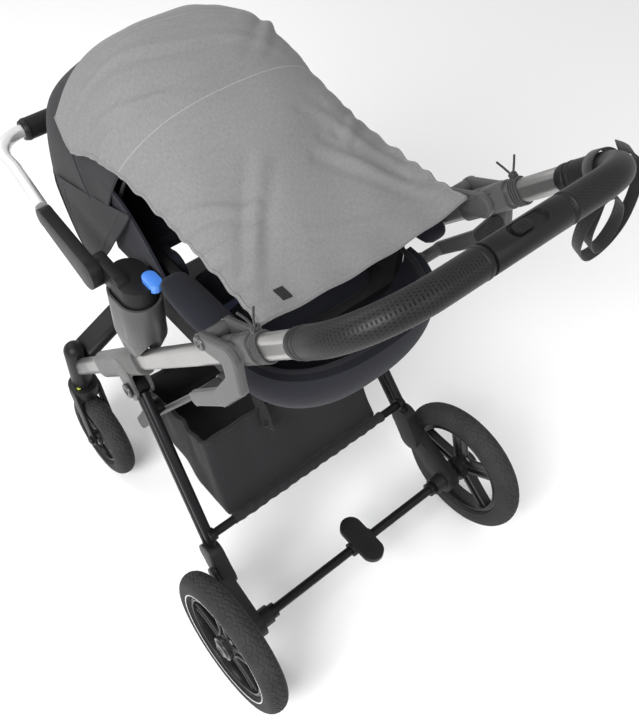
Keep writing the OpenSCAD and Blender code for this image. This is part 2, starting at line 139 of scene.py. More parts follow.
class Shader:
    """A Principled material with a few short ways to add nodes."""

    def __init__(self, name, color, rough, metal=0.0):
        self.mat = bpy.data.materials.new(name)
        self.mat.use_nodes = True
        self.nodes, self.links = self.mat.node_tree.nodes, self.mat.node_tree.links
        self.bsdf = self.nodes["Principled BSDF"]
        self.color = color
        self.set("Base Color", (*color, 1))
        self.set("Roughness", rough)
        self.set("Metallic", metal)
        self.height = None
        self.coords = self.nodes.new("ShaderNodeTexCoord")

    def set(self, name, value):
        self.bsdf.inputs[name].default_value = value

    def link(self, a, b):
        self.links.new(a, b)

    def math(self, op, a, b=None):
        node = self.nodes.new("ShaderNodeMath")
        node.operation = op
        for i, v in enumerate((a, b)):
            if v is None:
                continue
            if isinstance(v, (int, float)):
                node.inputs[i].default_value = v
            else:
                self.link(v, node.inputs[i])
        return node.outputs[0]

    def noise(self, scale, detail=4, stretch=(1, 1, 1), kind="Object"):
        mapping = self.nodes.new("ShaderNodeMapping")
        mapping.inputs["Scale"].default_value = stretch
        self.link(self.coords.outputs[kind], mapping.inputs["Vector"])
        node = self.nodes.new("ShaderNodeTexNoise")
        node.inputs["Scale"].default_value = scale
        node.inputs["Detail"].default_value = detail
        self.link(mapping.outputs[0], node.inputs["Vector"])
        return node.outputs["Fac"]

    def axes(self, kind):
        split = self.nodes.new("ShaderNodeSeparateXYZ")
        self.link(self.coords.outputs[kind], split.inputs[0])
        return split.outputs

    def wave(self, per_metre, direction):
        """A sine from 0 to 1 with so many waves in a metre along one UV direction."""
        angle = self.math("MULTIPLY", self.axes("UV")[direction], per_metre * 2 * math.pi)
        return self.math("MULTIPLY", self.math("ADD", self.math("SINE", angle), 1.0), 0.5)

    def ramp(self, fac, low, high, start=0.3, end=0.7):
        """A colour that goes from low to high as fac goes from start to end."""
        node = self.nodes.new("ShaderNodeValToRGB")
        node.color_ramp.elements[0].position = start
        node.color_ramp.elements[1].position = end
        node.color_ramp.elements[0].color = (*low, 1)
        node.color_ramp.elements[1].color = (*high, 1)
        self.link(fac, node.inputs[0])
        return node.outputs[0]

    def tint(self, fac, low, high, start=0.3, end=0.7):
        """Base colour that varies between two multiples of the material's own."""
        colors = [tuple(min(1, c * k) for c in self.color) for k in (low, high)]
        self.link(self.ramp(fac, *colors, start, end), self.bsdf.inputs["Base Color"])

    def rough(self, fac, low, high):
        node = self.nodes.new("ShaderNodeMapRange")
        node.inputs["To Min"].default_value = low
        node.inputs["To Max"].default_value = high
        self.link(fac, node.inputs["Value"])
        self.link(node.outputs[0], self.bsdf.inputs["Roughness"])

    def bump(self, fac, strength, distance):
        node = self.nodes.new("ShaderNodeBump")
        node.inputs["Strength"].default_value = strength
        node.inputs["Distance"].default_value = distance
        self.link(fac, node.inputs["Height"])
        if self.height is not None:
            self.link(self.height, node.inputs["Normal"])
        self.height = node.outputs[0]
        self.link(self.height, self.bsdf.inputs["Normal"])


def weave(name, color, threads=700, relief=0.0004, sheen=0.25, rough=0.85):
    """Woven or knitted cloth: fine crossing threads, faint slubs and a soft sheen."""
    s = Shader(name, color, rough)
    s.set("Sheen Weight", sheen)
    s.set("Sheen Roughness", 0.45)
    s.set("Specular IOR Level", 0.25)
    cross = s.math("MULTIPLY", s.wave(threads, 0), s.wave(threads, 1))
    slub = s.noise(260, 3, (1, 1, 1), "UV")
    patch = s.noise(9, 3)
    s.tint(s.math("ADD", s.math("MULTIPLY", slub, 0.6), s.math("MULTIPLY", patch, 0.4)), 0.86, 1.14)
    s.bump(patch, 0.15, 0.003)
    s.bump(slub, 0.35, relief)
    s.bump(cross, 0.5, relief)
    return s.mat


def knit(name, color):
    """Jersey: fine upright ribs, small slubs, a little sheen."""
    s = Shader(name, color, 0.9)
    s.set("Sheen Weight", 0.12)
    s.set("Sheen Roughness", 0.4)
    s.set("Specular IOR Level", 0.2)
    ribs = s.wave(620, 0)
    rows = s.wave(420, 1)
    slub = s.noise(420, 4, (1, 0.35, 1), "UV")
    patch = s.noise(7, 4)
    s.tint(s.math("ADD", s.math("MULTIPLY", slub, 0.75), s.math("MULTIPLY", patch, 0.25)), 0.87, 1.13)
    s.bump(slub, 0.3, 0.0004)
    s.bump(s.math("MULTIPLY", ribs, rows), 0.5, 0.0004)
    return s.mat


def plastic(name, color, rough=0.5, grain=0.25, coat=0.0):
    s = Shader(name, color, rough)
    fine = s.noise(900, 3)
    wear = s.noise(14, 5)
    s.rough(wear, rough - 0.07, rough + 0.09)
    s.tint(wear, 0.9, 1.12)
    if coat:
        s.set("Coat Weight", coat)
        s.set("Coat Roughness", 0.15)
    s.bump(fine, grain, 0.0002)
    return s.mat


def metal(name, color, rough=0.3, metallic=0.6, brush=(1, 1, 1)):
    s = Shader(name, color, rough, metallic)
    streak = s.noise(120, 4, brush)
    s.rough(streak, rough - 0.06, rough + 0.1)
    s.tint(s.noise(11, 3), 0.94, 1.05)
    s.bump(s.noise(1400, 2), 0.08, 0.0001)
    return s.mat


def leather(name, color):
    """Grained leather-look cover with rows of small round perforations, the holes painted dark as painted shade.
    """
    s = Shader(name, color, 0.42)
    s.set("Specular IOR Level", 0.4)
    grain = s.noise(520, 4)
    pitch = 0.0042
    uv = s.axes("UV")
    distance = None
    row = s.math("FLOOR", s.math("DIVIDE", uv[1], pitch))
    shift = s.math("MULTIPLY", s.math("MODULO", row, 2.0), 0.5)
    for axis, offset in ((0, shift), (1, 0.0)):
        cell = s.math("ADD", s.math("DIVIDE", uv[axis], pitch), offset)
        off = s.math("SUBTRACT", s.math("FRACT", cell), 0.5)
        square = s.math("MULTIPLY", off, off)
        distance = square if distance is None else s.math("ADD", distance, square)
    # The holes are tinted far darker than the cover: painted shade inside each hole.
    solid = s.math("GREATER_THAN", distance, 0.055)
    s.tint(solid, 0.25, 1.1, 0.2, 0.8)
    s.bump(grain, 0.25, 0.0003)
    s.bump(solid, 0.8, 0.0006)
    return s.mat


def rubber(name, color):
    s = Shader(name, color, 0.72)
    s.set("Specular IOR Level", 0.35)
    dust = s.noise(22, 5)
    s.tint(dust, 0.8, 1.35, 0.35, 0.75)
    s.rough(dust, 0.62, 0.85)
    s.bump(s.noise(700, 4), 0.3, 0.0004)
    return s.mat


def webbing(name, color):
    s = Shader(name, color, 0.7)
    s.set("Sheen Weight", 0.2)
    ribs = s.wave(500, 0)
    rows = s.wave(900, 1)
    # The colour follows the ribs: painted shade in the grooves between them, painted lighter on their tops.
    s.tint(ribs, 0.75, 1.2, 0.1, 0.9)
    s.bump(s.math("MULTIPLY", ribs, rows), 0.7, 0.0006)
    return s.mat


def chevron(name, color):
    """Rubbery pad with raised arrow rows."""
    s = Shader(name, color, 0.6)
    place = s.axes("Object")
    side = s.math("ABSOLUTE", s.math("SUBTRACT", s.math("FRACT", s.math("MULTIPLY", place[1], 60)), 0.5))
    slope = s.math("ADD", place[2], s.math("MULTIPLY", side, 0.02))
    s.bump(s.math("SINE", s.math("MULTIPLY", slope, 1200)), 0.6, 0.0008)
    return s.mat


def make_materials():
    """Each kind of surface, and what its maker is given for each name."""
    kinds = {
        metal: {
            "frame_tube": ((0.36, 0.355, 0.35), 0.30, 0.85, (1, 0.1, 0.1)),
            "frame_casting": ((0.095, 0.0945, 0.093), 0.38, 0.45),
            "black_tube": ((0.007, 0.007, 0.008), 0.32, 0.3, (1, 0.1, 0.1)),
            "bumper_metal": ((0.90, 0.90, 0.91), 0.26, 0.7, (0.2, 1, 1)),
            "screw": ((0.1, 0.1, 0.1), 0.3, 0.8),
        },
        plastic: {
            "grey_bracket": ((0.062, 0.0615, 0.061), 0.36, 0.12, 0.15),
            "black_plastic": ((0.009, 0.009, 0.0095), 0.42, 0.3),
            "seat_shell": ((0.008, 0.008, 0.009), 0.6, 0.4),
            "rim": ((0.010, 0.010, 0.0105), 0.30, 0.15, 0.25),
            "hood_bow": ((0.02, 0.02, 0.02),),
            "button_blue": ((0.06, 0.21, 0.66), 0.28, 0.05, 0.4),
            "thread": ((0.06, 0.06, 0.062), 0.8),
            "stripe": ((0.62, 0.62, 0.62), 0.5),
            "lime": ((0.55, 0.62, 0.05), 0.4),
        },
        rubber: {
            "tyre": ((0.026, 0.026, 0.027),),
        },
        leather: {
            "grip_leather": ((0.012, 0.012, 0.0125),),
        },
        weave: {
            "seat_fabric": ((0.010, 0.0105, 0.016), 700, 0.0004, 0.06),
            "hood_fabric": ((0.028, 0.028, 0.030), 560, 0.0005, 0.06),
            "basket_fabric": ((0.017, 0.016, 0.0175), 420, 0.0006, 0.06, 0.8),
            "tag": ((0.012, 0.012, 0.012), 900, 0.0002, 0.1),
            "piping": ((0.014, 0.0145, 0.018), 900, 0.0003, 0.08),
        },
        knit: {
            "shade_fabric": ((0.185, 0.185, 0.187),),
            "shade_seam": ((0.27, 0.27, 0.273),),
        },
        webbing: {
            "webbing": ((0.011, 0.011, 0.012),),
            "navy_webbing": ((0.02, 0.03, 0.075),),
            "elastic": ((0.018, 0.018, 0.018),),
        },
        chevron: {
            "chevron": ((0.02, 0.02, 0.02),),
        },
    }
    return {name: make(name, *given) for make, table in kinds.items() for name, given in table.items()}


# ---------------------------------------------------------------- mesh helpers

MAT = make_materials()
DARK = ("black_tube", "black_plastic", "rim", "seat_fabric", "hood_fabric", "basket_fabric", "grip_leather",
        "tyre", "webbing", "piping", "grey_bracket", "chevron")
DARK_SPECULAR = 0.22
for dark in DARK:
    MAT[dark].node_tree.nodes["Principled BSDF"].inputs["Specular IOR Level"].default_value = DARK_SPECULAR


def new_mesh(name, verts, faces, material, uvs=None):
    """A mesh object; uvs is one pair for each vertex."""
    mesh = bpy.data.meshes.new(name)
    mesh.from_pydata([tuple(v) for v in verts], [], faces)
    mesh.validate()
    mesh.update()
    if uvs is not None:
        layer = mesh.uv_layers.new(name="UVMap")
        index = np.zeros(len(mesh.loops), np.int32)
        mesh.loops.foreach_get("vertex_index", index)
        layer.data.foreach_set("uv", np.asarray(uvs, np.float32)[index].ravel())
    shade_smooth(mesh)
    obj = added(name, mesh)
    mesh.materials.append(MAT[material])
    return obj


def rides(obj, body, slot, *nodes):
    """Rides on a body and hides the CAD nodes it stands in for; the slot is not used."""
    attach(obj, body)
    if nodes:
        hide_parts(*nodes)
    return obj


def bends(obj, slot, a, b, start, end):
    """Bakes the object's place into its mesh; the slot, the two bodies and the two points are not used."""
    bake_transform(obj)
    return obj


def bends_with_hood(obj, slot):
    return bends(obj, slot, "backrest", "hood_front", *HOOD_BEND)


def vectors(points):
    return np.asarray([tuple(x) for x in points], float)


def full_turn(count):
    return np.linspace(0, 2 * math.pi, count, endpoint=False)


def signed_power(value, power):
    return math.copysign(abs(value) ** power, value)


def grid_normals(p):
    normal = np.cross(np.gradient(p, axis=1), np.gradient(p, axis=0))
    return normal / np.maximum(np.linalg.norm(normal, axis=2, keepdims=True), 1e-9)


def ring_faces(rings, sides, closed=False, base=0):
    """Faces between rings of vertices in a row, with a cap at each end unless it is closed."""
    faces = []
    for i in range(rings if closed else rings - 1):
        a, b = base + i * sides, base + (i + 1) % rings * sides
        for k in range(sides):
            k2 = (k + 1) % sides
            faces.append((a + k, a + k2, b + k2, b + k))
    if not closed:
        faces.append(tuple(base + k for k in range(sides - 1, -1, -1)))
        faces.append(tuple(base + (rings - 1) * sides + k for k in range(sides)))
    return faces


def arc_lengths(points):
    steps = np.linalg.norm(np.diff(points, axis=0), axis=1)
    return np.concatenate([[0], np.cumsum(steps)])


def cloth(name, points, thickness, material):
    """A closed thin sheet from a grid of points, with its cut measured in metres as UVs."""
    p = np.asarray(points, float)
    rows, cols = p.shape[:2]
    low = p - grid_normals(p) * thickness
    u, v = (np.cumsum(np.insert(np.linalg.norm(np.diff(p, axis=k), axis=2), 0, 0, axis=k), axis=k)
            for k in (1, 0))
    uv = np.stack([u - u[:, cols // 2:cols // 2 + 1], v], 2).reshape(-1, 2)
    count = rows * cols
    index = np.arange(count).reshape(rows, cols)
    top = np.stack([index[:-1, :-1], index[:-1, 1:], index[1:, 1:], index[1:, :-1]], 2).reshape(-1, 4)
    faces = [tuple(f) for f in np.stack([top, top[:, ::-1] + count], 1).reshape(-1, 4).tolist()]
    rim = [int(k) for k in (*index[0, :], *index[1:, -1], *index[-1, -2::-1], *index[-2:0:-1, 0])]
    pairs = list(zip(rim, rim[1:] + rim[:1]))
    faces += [(b, a, a + count, b + count) for a, b in pairs]
    obj = new_mesh(name, np.concatenate([p.reshape(-1, 3), low.reshape(-1, 3)]), faces, material,
                   np.concatenate([uv, uv]))
    around = {frozenset((a + k, b + k)) for a, b in pairs for k in (0, count)}
    for edge in obj.data.edges:
        if frozenset(edge.vertices) in around:
            edge.use_edge_sharp = True
    return obj


def frames(path):
    """Tangent and two normals at each point, carried along without twist."""
    p = np.asarray(path, float)
    tangent = np.gradient(p, axis=0)
    tangent /= np.maximum(np.linalg.norm(tangent, axis=1, keepdims=True), 1e-12)
    first = np.cross(tangent[0], [0.13, 0.29, 0.95])
    if np.linalg.norm(first) < 1e-3:
        first = np.cross(tangent[0], [1, 0, 0])
    side = [first / np.linalg.norm(first)]
    for t in tangent[1:]:
        s = side[-1] - t * (side[-1] @ t)
        side.append(s / np.linalg.norm(s))
    side = np.array(side)
    return tangent, side, np.cross(tangent, side)


def tube(name, path, radius, material, sides=12, closed=False, flat=1.0):
    """A round or flattened tube along a path; radius may be one value or one for each point."""
    p = vectors(path)
    r = np.broadcast_to(np.asarray(radius, float), (len(p),))
    _, side, up = frames(p)
    a = full_turn(sides)
    ring = np.cos(a)[None, :, None] * side[:, None, :] * flat + np.sin(a)[None, :, None] * up[:, None, :]
    verts = (p[:, None, :] + ring * r[:, None, None]).reshape(-1, 3)
    uv = np.stack(np.meshgrid(a * float(np.mean(r)), arc_lengths(p)), 2).reshape(-1, 2)
    return new_mesh(name, verts, ring_faces(len(p), sides, closed), material, uv)


def spline(points, count):
    """A smooth curve through a few points."""
    p = vectors(points)
    last = len(p) - 1
    out = []
    for i in range(last):
        a, b, c, d = p[max(i - 1, 0)], p[i], p[i + 1], p[min(i + 2, last)]
        for t in np.arange(count) / count:
            out.append(0.5 * (2 * b + (c - a) * t + (2 * a - 5 * b + 4 * c - d) * t ** 2
                              + (3 * b - a - 3 * c + d) * t ** 3))
    return np.array([*out, p[-1]])


def lathe(name, profile, centre, material, segments=96, groove=None):
    """Turns a closed outline of (radius, x) about a line along X through centre."""
    outline = np.asarray(profile, float)
    a = full_turn(segments)
    r = np.repeat(outline[None, :, 0], segments, 0)
    x = np.repeat(outline[None, :, 1], segments, 0)
    if groove is not None:
        r = r - groove(a[:, None], x, r)
    y, z = r * np.cos(a)[:, None], r * np.sin(a)[:, None]
    verts = np.stack([centre[0] + x, centre[1] + y, centre[2] + z], 2)
    k = len(outline)
    i = np.arange(segments)[:, None] * k
    i2 = ((np.arange(segments) + 1) % segments)[:, None] * k
    j, j2 = np.arange(k)[None, :], ((np.arange(k) + 1) % k)[None, :]
    faces = np.stack([i + j, i2 + j, i2 + j2, i + j2], 2).reshape(-1, 4)
    length = arc_lengths(outline)
    uv = np.stack([np.repeat(a[:, None] * float(outline[:, 0].max()), k, 1),
                   np.repeat(length[None, :], segments, 0)], 2).reshape(-1, 2)
    return new_mesh(name, verts.reshape(-1, 3), [tuple(int(v) for v in f) for f in faces], material, uv)


def joined(name, objects):
    """Several new objects made into one."""
    with bpy.context.temp_override(active_object=objects[0], selected_editable_objects=objects,
                                   object=objects[0], selected_objects=objects):
        bpy.ops.object.join()
    objects[0].name = name
    return objects[0]


def stitches(name, path, normals, material="thread", pitch=0.006, length=0.0042, radius=0.0005):
    """A row of short thread stitches along a path, standing just proud of a surface."""
    p, n = vectors(path), vectors(normals)
    s = arc_lengths(p)

    def point(values, where):
        return np.array([np.interp(where, s, values[:, c]) for c in range(3)])

    verts, faces, sides = [], [], 6
    for k in range(int(s[-1] / pitch)):
        mid = (k + 0.5) * pitch
        out = point(n, mid)
        ends = [point(p, mid + e * length / 2) + out * radius * lift
                for e, lift in ((-1, -0.6), (0, 0.7), (1, -0.6))]
        _, side, up = frames(ends)
        faces += ring_faces(len(ends), sides, base=len(verts))
        for e, a, b in zip(ends, side, up):
            verts += [e + radius * (math.cos(t) * a + math.sin(t) * b) for t in full_turn(sides)]
    return new_mesh(name, verts, faces, material)


def block(name, centre, size, material, power=4.0, crown=(0, 0, 0), cells=24):
    """A padded block: a box with rounded edges whose faces swell by crown."""
    bm = bmesh.new()
    bmesh.ops.create_cube(bm, size=2)
    bmesh.ops.subdivide_edges(bm, edges=bm.edges[:], cuts=cells, use_grid_fill=True)
    half = np.array(size, float) / 2
    for v in bm.verts:
        q = np.array(v.co)
        unit = q / (abs(q) ** power).sum() ** (1 / power)
        face = 1 - np.abs(unit) ** 2
        swell = [crown[i] * unit[i] * np.prod([face[k] for k in range(3) if k != i]) for i in range(3)]
        v.co = Vector(unit * half + np.array(swell))
    mesh = bpy.data.meshes.new(name)
    bm.to_mesh(mesh)
    bm.free()
    mesh.transform(Matrix.Translation(Vector(centre)))
    obj = added(name, mesh)
    mesh.materials.append(MAT[material])
    box_uv(obj)
    shade_smooth(mesh)
    return obj


def box_uv(obj):
    """UVs in metres, each face laid flat along the axis it looks down most."""
    mesh = obj.data
    layer = mesh.uv_layers.get("UVMap") or mesh.uv_layers.new(name="UVMap")
    for poly in mesh.polygons:
        skip = max(range(3), key=lambda i: abs(poly.normal[i]))
        keep = [i for i in range(3) if i != skip]
        for loop in poly.loop_indices:
            co = mesh.vertices[mesh.loops[loop].vertex_index].co
            layer.data[loop].uv = (co[keep[0]], co[keep[1]])


def puff(obj, voxel):
    """Cloth with air inside: remeshes, lets the pressure crown it, caps how far it may move."""
    pressure, cap, last_frame = 3.0, 0.004, 14
    remesh = obj.modifiers.new("remesh", "REMESH")
    remesh.mode, remesh.voxel_size = "VOXEL", voxel
    bake_modifiers(obj)
    before = np.array([v.co for v in obj.data.vertices], float)
    sim = obj.modifiers.new("cloth", "CLOTH")
    sim.settings.use_pressure = True
    sim.settings.uniform_pressure_force = pressure
    sim.settings.effector_weights.gravity = 0
    sim.settings.quality = 4
    scene = bpy.context.scene
    for number in range(1, last_frame + 1):
        scene.frame_set(number)
    bake_modifiers(obj)
    scene.frame_set(1)
    move = np.array([v.co for v in obj.data.vertices], float) - before
    far = np.linalg.norm(move, axis=1, keepdims=True)
    move *= np.minimum(1, cap / np.maximum(far, 1e-9))
    obj.data.vertices.foreach_set("co", (before + move).astype(np.float32).ravel())
    shade_smooth(obj.data)
    box_uv(obj)


def bake_modifiers(obj):
    """Replaces the mesh with what its modifiers make of it."""
    graph = bpy.context.evaluated_depsgraph_get()
    graph.update()
    mesh = bpy.data.meshes.new_from_object(obj.evaluated_get(graph), depsgraph=graph)
    materials = list(obj.data.materials)
    obj.modifiers.clear()
    obj.data = mesh
    if not mesh.materials:
        for m in materials:
            mesh.materials.append(m)


# ---------------------------------------------------------------- CAD nodes that stay


def finish_cad_nodes():
    """Welds, bevels and shades the CAD nodes and gives each its slot's material."""
    slot_of = {s["node"]: s["material_slot"] for s in frame["record"]["subparts"]}
    for name, obj in frame["nodes"].items():
        obj.data.materials.clear()
        obj.data.materials.append(MAT[slot_of[name]])
        shade_smooth(obj.data)
        weld = obj.modifiers.new("weld", "WELD")
        weld.merge_threshold = 0.00002
        bevel = obj.modifiers.new("bevel", "BEVEL")
        bevel.limit_method, bevel.angle_limit = "ANGLE", math.radians(38)
        bevel.width, bevel.segments = 0.0012, 2
        split = obj.modifiers.new("split", "EDGE_SPLIT")
        split.split_angle = math.radians(42)


# ---------------------------------------------------------------- hood and sunshade

HOOD_HALF = 0.190
HOOD_REACH = [(-8, 0.232), (20, 0.236), (35, 0.241), (50, 0.243), (66, 0.247), (80, 0.246), (95, 0.230),
              (109, 0.212)]
HOOD_ROUND = [(-8, 0.42), (20, 0.38), (34, 0.38), (48, 0.58), (62, 0.74), (109, 0.77)]
CREST = 109.0
HOOD_ANGLES = range(-12, 113)


def smoothed(table):
    angles, values = zip(*table)
    return [float(np.mean([np.interp(a + d, angles, values) for d in range(-6, 7, 2)])) for a in HOOD_ANGLES]


SMOOTH_REACH, SMOOTH_ROUND = smoothed(HOOD_REACH), smoothed(HOOD_ROUND)


def hood_point(angle, t, lift=0.0):
    """A point of the hood: angle about the hinge line from forwards, t from 0 to 180 across."""
    reach = float(np.interp(angle, HOOD_ANGLES, SMOOTH_REACH)) + lift
    power = float(np.interp(angle, HOOD_ANGLES, SMOOTH_ROUND))
    c, s = math.cos(math.radians(t)), math.sin(math.radians(t))
    x = -(HOOD_HALF + lift) * signed_power(c, power)
    r = reach * max(s, 0) ** power
    a = math.radians(angle)
    return np.array([x, HOOD.y + r * math.cos(a), HOOD.z + r * math.sin(a)])


HOOD_BEND = hood_point(25, 90), hood_point(CREST, 90)


def gather(along, inside, seed, pitch, height):
    """Height of the soft folds an elastic edge makes: along the edge, fading inwards."""
    wave = math.sin(2 * math.pi * along / pitch + 1.3 * math.sin(along * 37 + seed) + seed)
    wave += 0.5 * math.sin(2 * math.pi * along / (pitch * 1.7) + 2.1 * seed)
    return height * wave * math.exp(-inside / 0.04)


def make_hood():
    """Charcoal hood cloth: one curved sheet from its lower front hem to the crest."""
    half_t, hem = 88.6, -5
    rows = []
    for i in range(49):
        angle = hem + (CREST - 2 - hem) * i / 48
        tight = 0.003 * abs(math.sin(math.radians((angle - hem) / 57 * 180)))
        rows.append([hood_point(angle, 90 - half_t * (1 - j / 36), -0.0015 - tight) for j in range(73)])
    hood = bends_with_hood(cloth("hood_cloth", rows, 0.0015, "hood_fabric"), "hood_fabric")
    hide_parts("hood_rear", "hood_front")


def make_ears():
    """Side panels of the hood that come down over its hinges to a rounded tip."""
    front = [(0.484, 0.672), (0.505, 0.680), (0.522, 0.705), (0.538, 0.738), (0.548, 0.764), (0.552, 0.785)]
    rear = [(0.478, 0.671), (0.450, 0.683), (0.420, 0.716), (0.384, 0.770), (0.356, 0.815), (0.340, 0.845)]
    lines = [spline([at(0, y, z) for y, z in line], 6) for line in (front, rear)]
    for side, name in SIDES:
        rows = []
        for a, b in zip(*lines):
            row = []
            for f in np.arange(17) / 16:
                q = a + (b - a) * f
                q[0] = side * (0.1915 + 0.003 * math.sin(math.pi * f) - 0.12 * max(0, q[2] - 0.775))
                row.append(q)
            rows.append(row[::-side])
        rides(cloth(f"hood_ear_{name}", rows, 0.0016, "hood_fabric"), "backrest", "hood_fabric")
        p = np.array(rows)
        for key, j in (("a", 0), ("b", -1)):
            pipe = tube(f"hood_ear_piping_{key}_{name}", p[:, j], 0.0017, "piping", 8)
            rides(pipe, "backrest", "hood_fabric")
        make_wing(side, name)
        for key, j in (("a", 2), ("b", -3)):
            line = p[2:, j] + [side * 0.0004, 0, 0]
            row = stitches(f"hood_ear_stitch_{key}_{name}", line, [(side, 0, 0)] * len(line))
            rides(row, "backrest", "hood_fabric")


def make_wing(side, name):
    """Side wall of the seat's back, between the arm pad and the hood."""
    grid = []
    for f in np.arange(13) / 12:
        y = 0.262 + 0.16 * f
        low = at(0, y, 0.716)
        high = at(0, y, 0.772 + 0.088 * math.sin(math.pi * min(1, f * 1.2) / 2))
        row = []
        for g in np.arange(9) / 8:
            q = low + (high - low) * g
            q[0] = side * (0.166 + 0.012 * g)
            row.append(q)
        grid.append(row[::side])
    rides(cloth(f"seat_wing_{name}", grid, 0.004, "seat_fabric"), "backrest", "hood_fabric")


CREASES = [(-0.8, 0.2, 0.5, 0.9, 0.05, 0.0030), (-0.9, 0.55, -0.1, 1.0, 0.05, 0.0034),
           (-0.7, 0.75, 0.1, 0.95, 0.045, 0.0026), (0.85, 0.3, 0.2, 0.9, 0.05, 0.003),
           (-0.55, 1.15, 0.5, 1.3, 0.05, 0.0024), (-0.9, 1.9, -0.1, 1.35, 0.05, 0.0034),
           (0.92, 1.92, 0.2, 1.4, 0.05, 0.0034), (-0.95, 1.35, -0.3, 1.55, 0.045, 0.0026),
           (0.3, 1.2, 0.9, 1.7, 0.05, 0.0022), (-0.2, 1.75, 0.5, 1.9, 0.035, 0.0024),
           (0.95, 1.3, 0.45, 1.45, 0.045, 0.0024), (-0.4, 0.25, 0.3, 0.5, 0.05, 0.002)]


def crease(u, v):
    """Height of long soft pull lines, each from one place (u, v) on the shade to another."""
    height = 0.0
    for u0, v0, u1, v1, width, tall in CREASES:
        du, dv = u1 - u0, (v1 - v0) * 1.6
        f = ((u - u0) * du + (v - v0) * 1.6 * dv) / (du * du + dv * dv)
        g = min(1.0, max(0.0, f))
        off = math.hypot(u - u0 - g * du, (v - v0) * 1.6 - g * dv)
        ends = math.sin(math.pi * min(1, max(0, g * 0.9 + 0.05)))
        height += 1.5 * tall * math.exp(-(off / width) ** 2) * ends
        height -= 0.8 * tall * math.exp(-((off - 1.8 * width) / width) ** 2) * (0 < f < 1)
    return height


def shade_surface():
    """Rows of points from the front hem, over the hood and down to the hem at the push bar."""
    rows = []
    edge = [(44, 25), (50, 20.5), (58, 20), (70, 21), (84, 23), (99, 27), (109, 31)]
    edge_angle, edge_t = zip(*edge)
    over = 60
    for i in range(over + 1):
        v = i / over
        row = []
        for j in range(SHADE_COLS):
            u = -1 + 2 * j / (SHADE_COLS - 1)
            front = 55 - 10 * abs(u) ** 3
            angle = front + (CREST - front) * v
            t_edge = float(np.interp(angle, edge_angle, edge_t))
            if v < 0.12:
                t_edge = t_edge + 60 * (0.12 - v)
            t = 90 + u * (90 - t_edge)
            inside = (1 - abs(u)) * 0.17
            seed = 1.7 if u < 0 else 4.1
            along = math.radians(angle) * 0.24
            ease = min(1, 4 * v)
            lift = 0.0036 + 0.0026 * ease + 0.0035 * v ** 3
            lift += gather(along, inside, seed, 0.030, 0.0014) * (1 - 0.8 * v ** 4) * ease
            lift += 0.0016 * math.sin(7 * u + 9 * v) * math.sin(math.pi * v)
            lift += gather(u * 0.19, v * 0.2, 2.2, 0.030, 0.0016) * ease
            lift += crease(u, v) * math.sin(math.pi * v)
            row.append(hood_point(angle, t, lift))
        rows.append(row)
    crest = rows[-1]
    flat = 60
    tie = at(0.184, 0.052, 0.880)
    for i in range(1, flat + 1):
        v = i / flat
        row = []
        for j in range(SHADE_COLS):
            u = -1 + 2 * j / (SHADE_COLS - 1)
            a = crest[j]
            hem = np.array([tie.x * u, tie.y - 0.004 * (1 - u * u), tie.z - 0.010 * (1 - u * u)])
            p = a + (hem - a) * v
            p[0] -= math.copysign(0.006 * math.sin(math.pi * v), u) * abs(u) ** 3
            sag = 0.011 * math.sin(math.pi * v) * v ** 0.8 * (1 - u * u * 0.6)
            arch = 0.006 * math.sin(math.pi * min(1, v * 2.4)) * (1 - abs(u) ** 3)
            inside = (1 - abs(u)) * 0.17
            seed = 0.4 if u < 0 else 2.9
            fold = gather(v * 0.32 + 0.35, inside, seed, 0.034, 0.0028)
            pull = 0.0022 * math.sin(2 * math.pi * (u * 1.6 + v * 0.8)) * math.sin(math.pi * v) ** 0.8
            pull += crease(u, 1 + v) * math.sin(math.pi * v)
            near = math.exp(-((1 - v) / 0.12) ** 2)
            hemline = 0.0016 * near * math.sin(14 * u + 1.0)
            p[2] += -sag + arch + fold + pull + hemline
            row.append(p)
        rows.append(row)
    return rows, over, over + flat


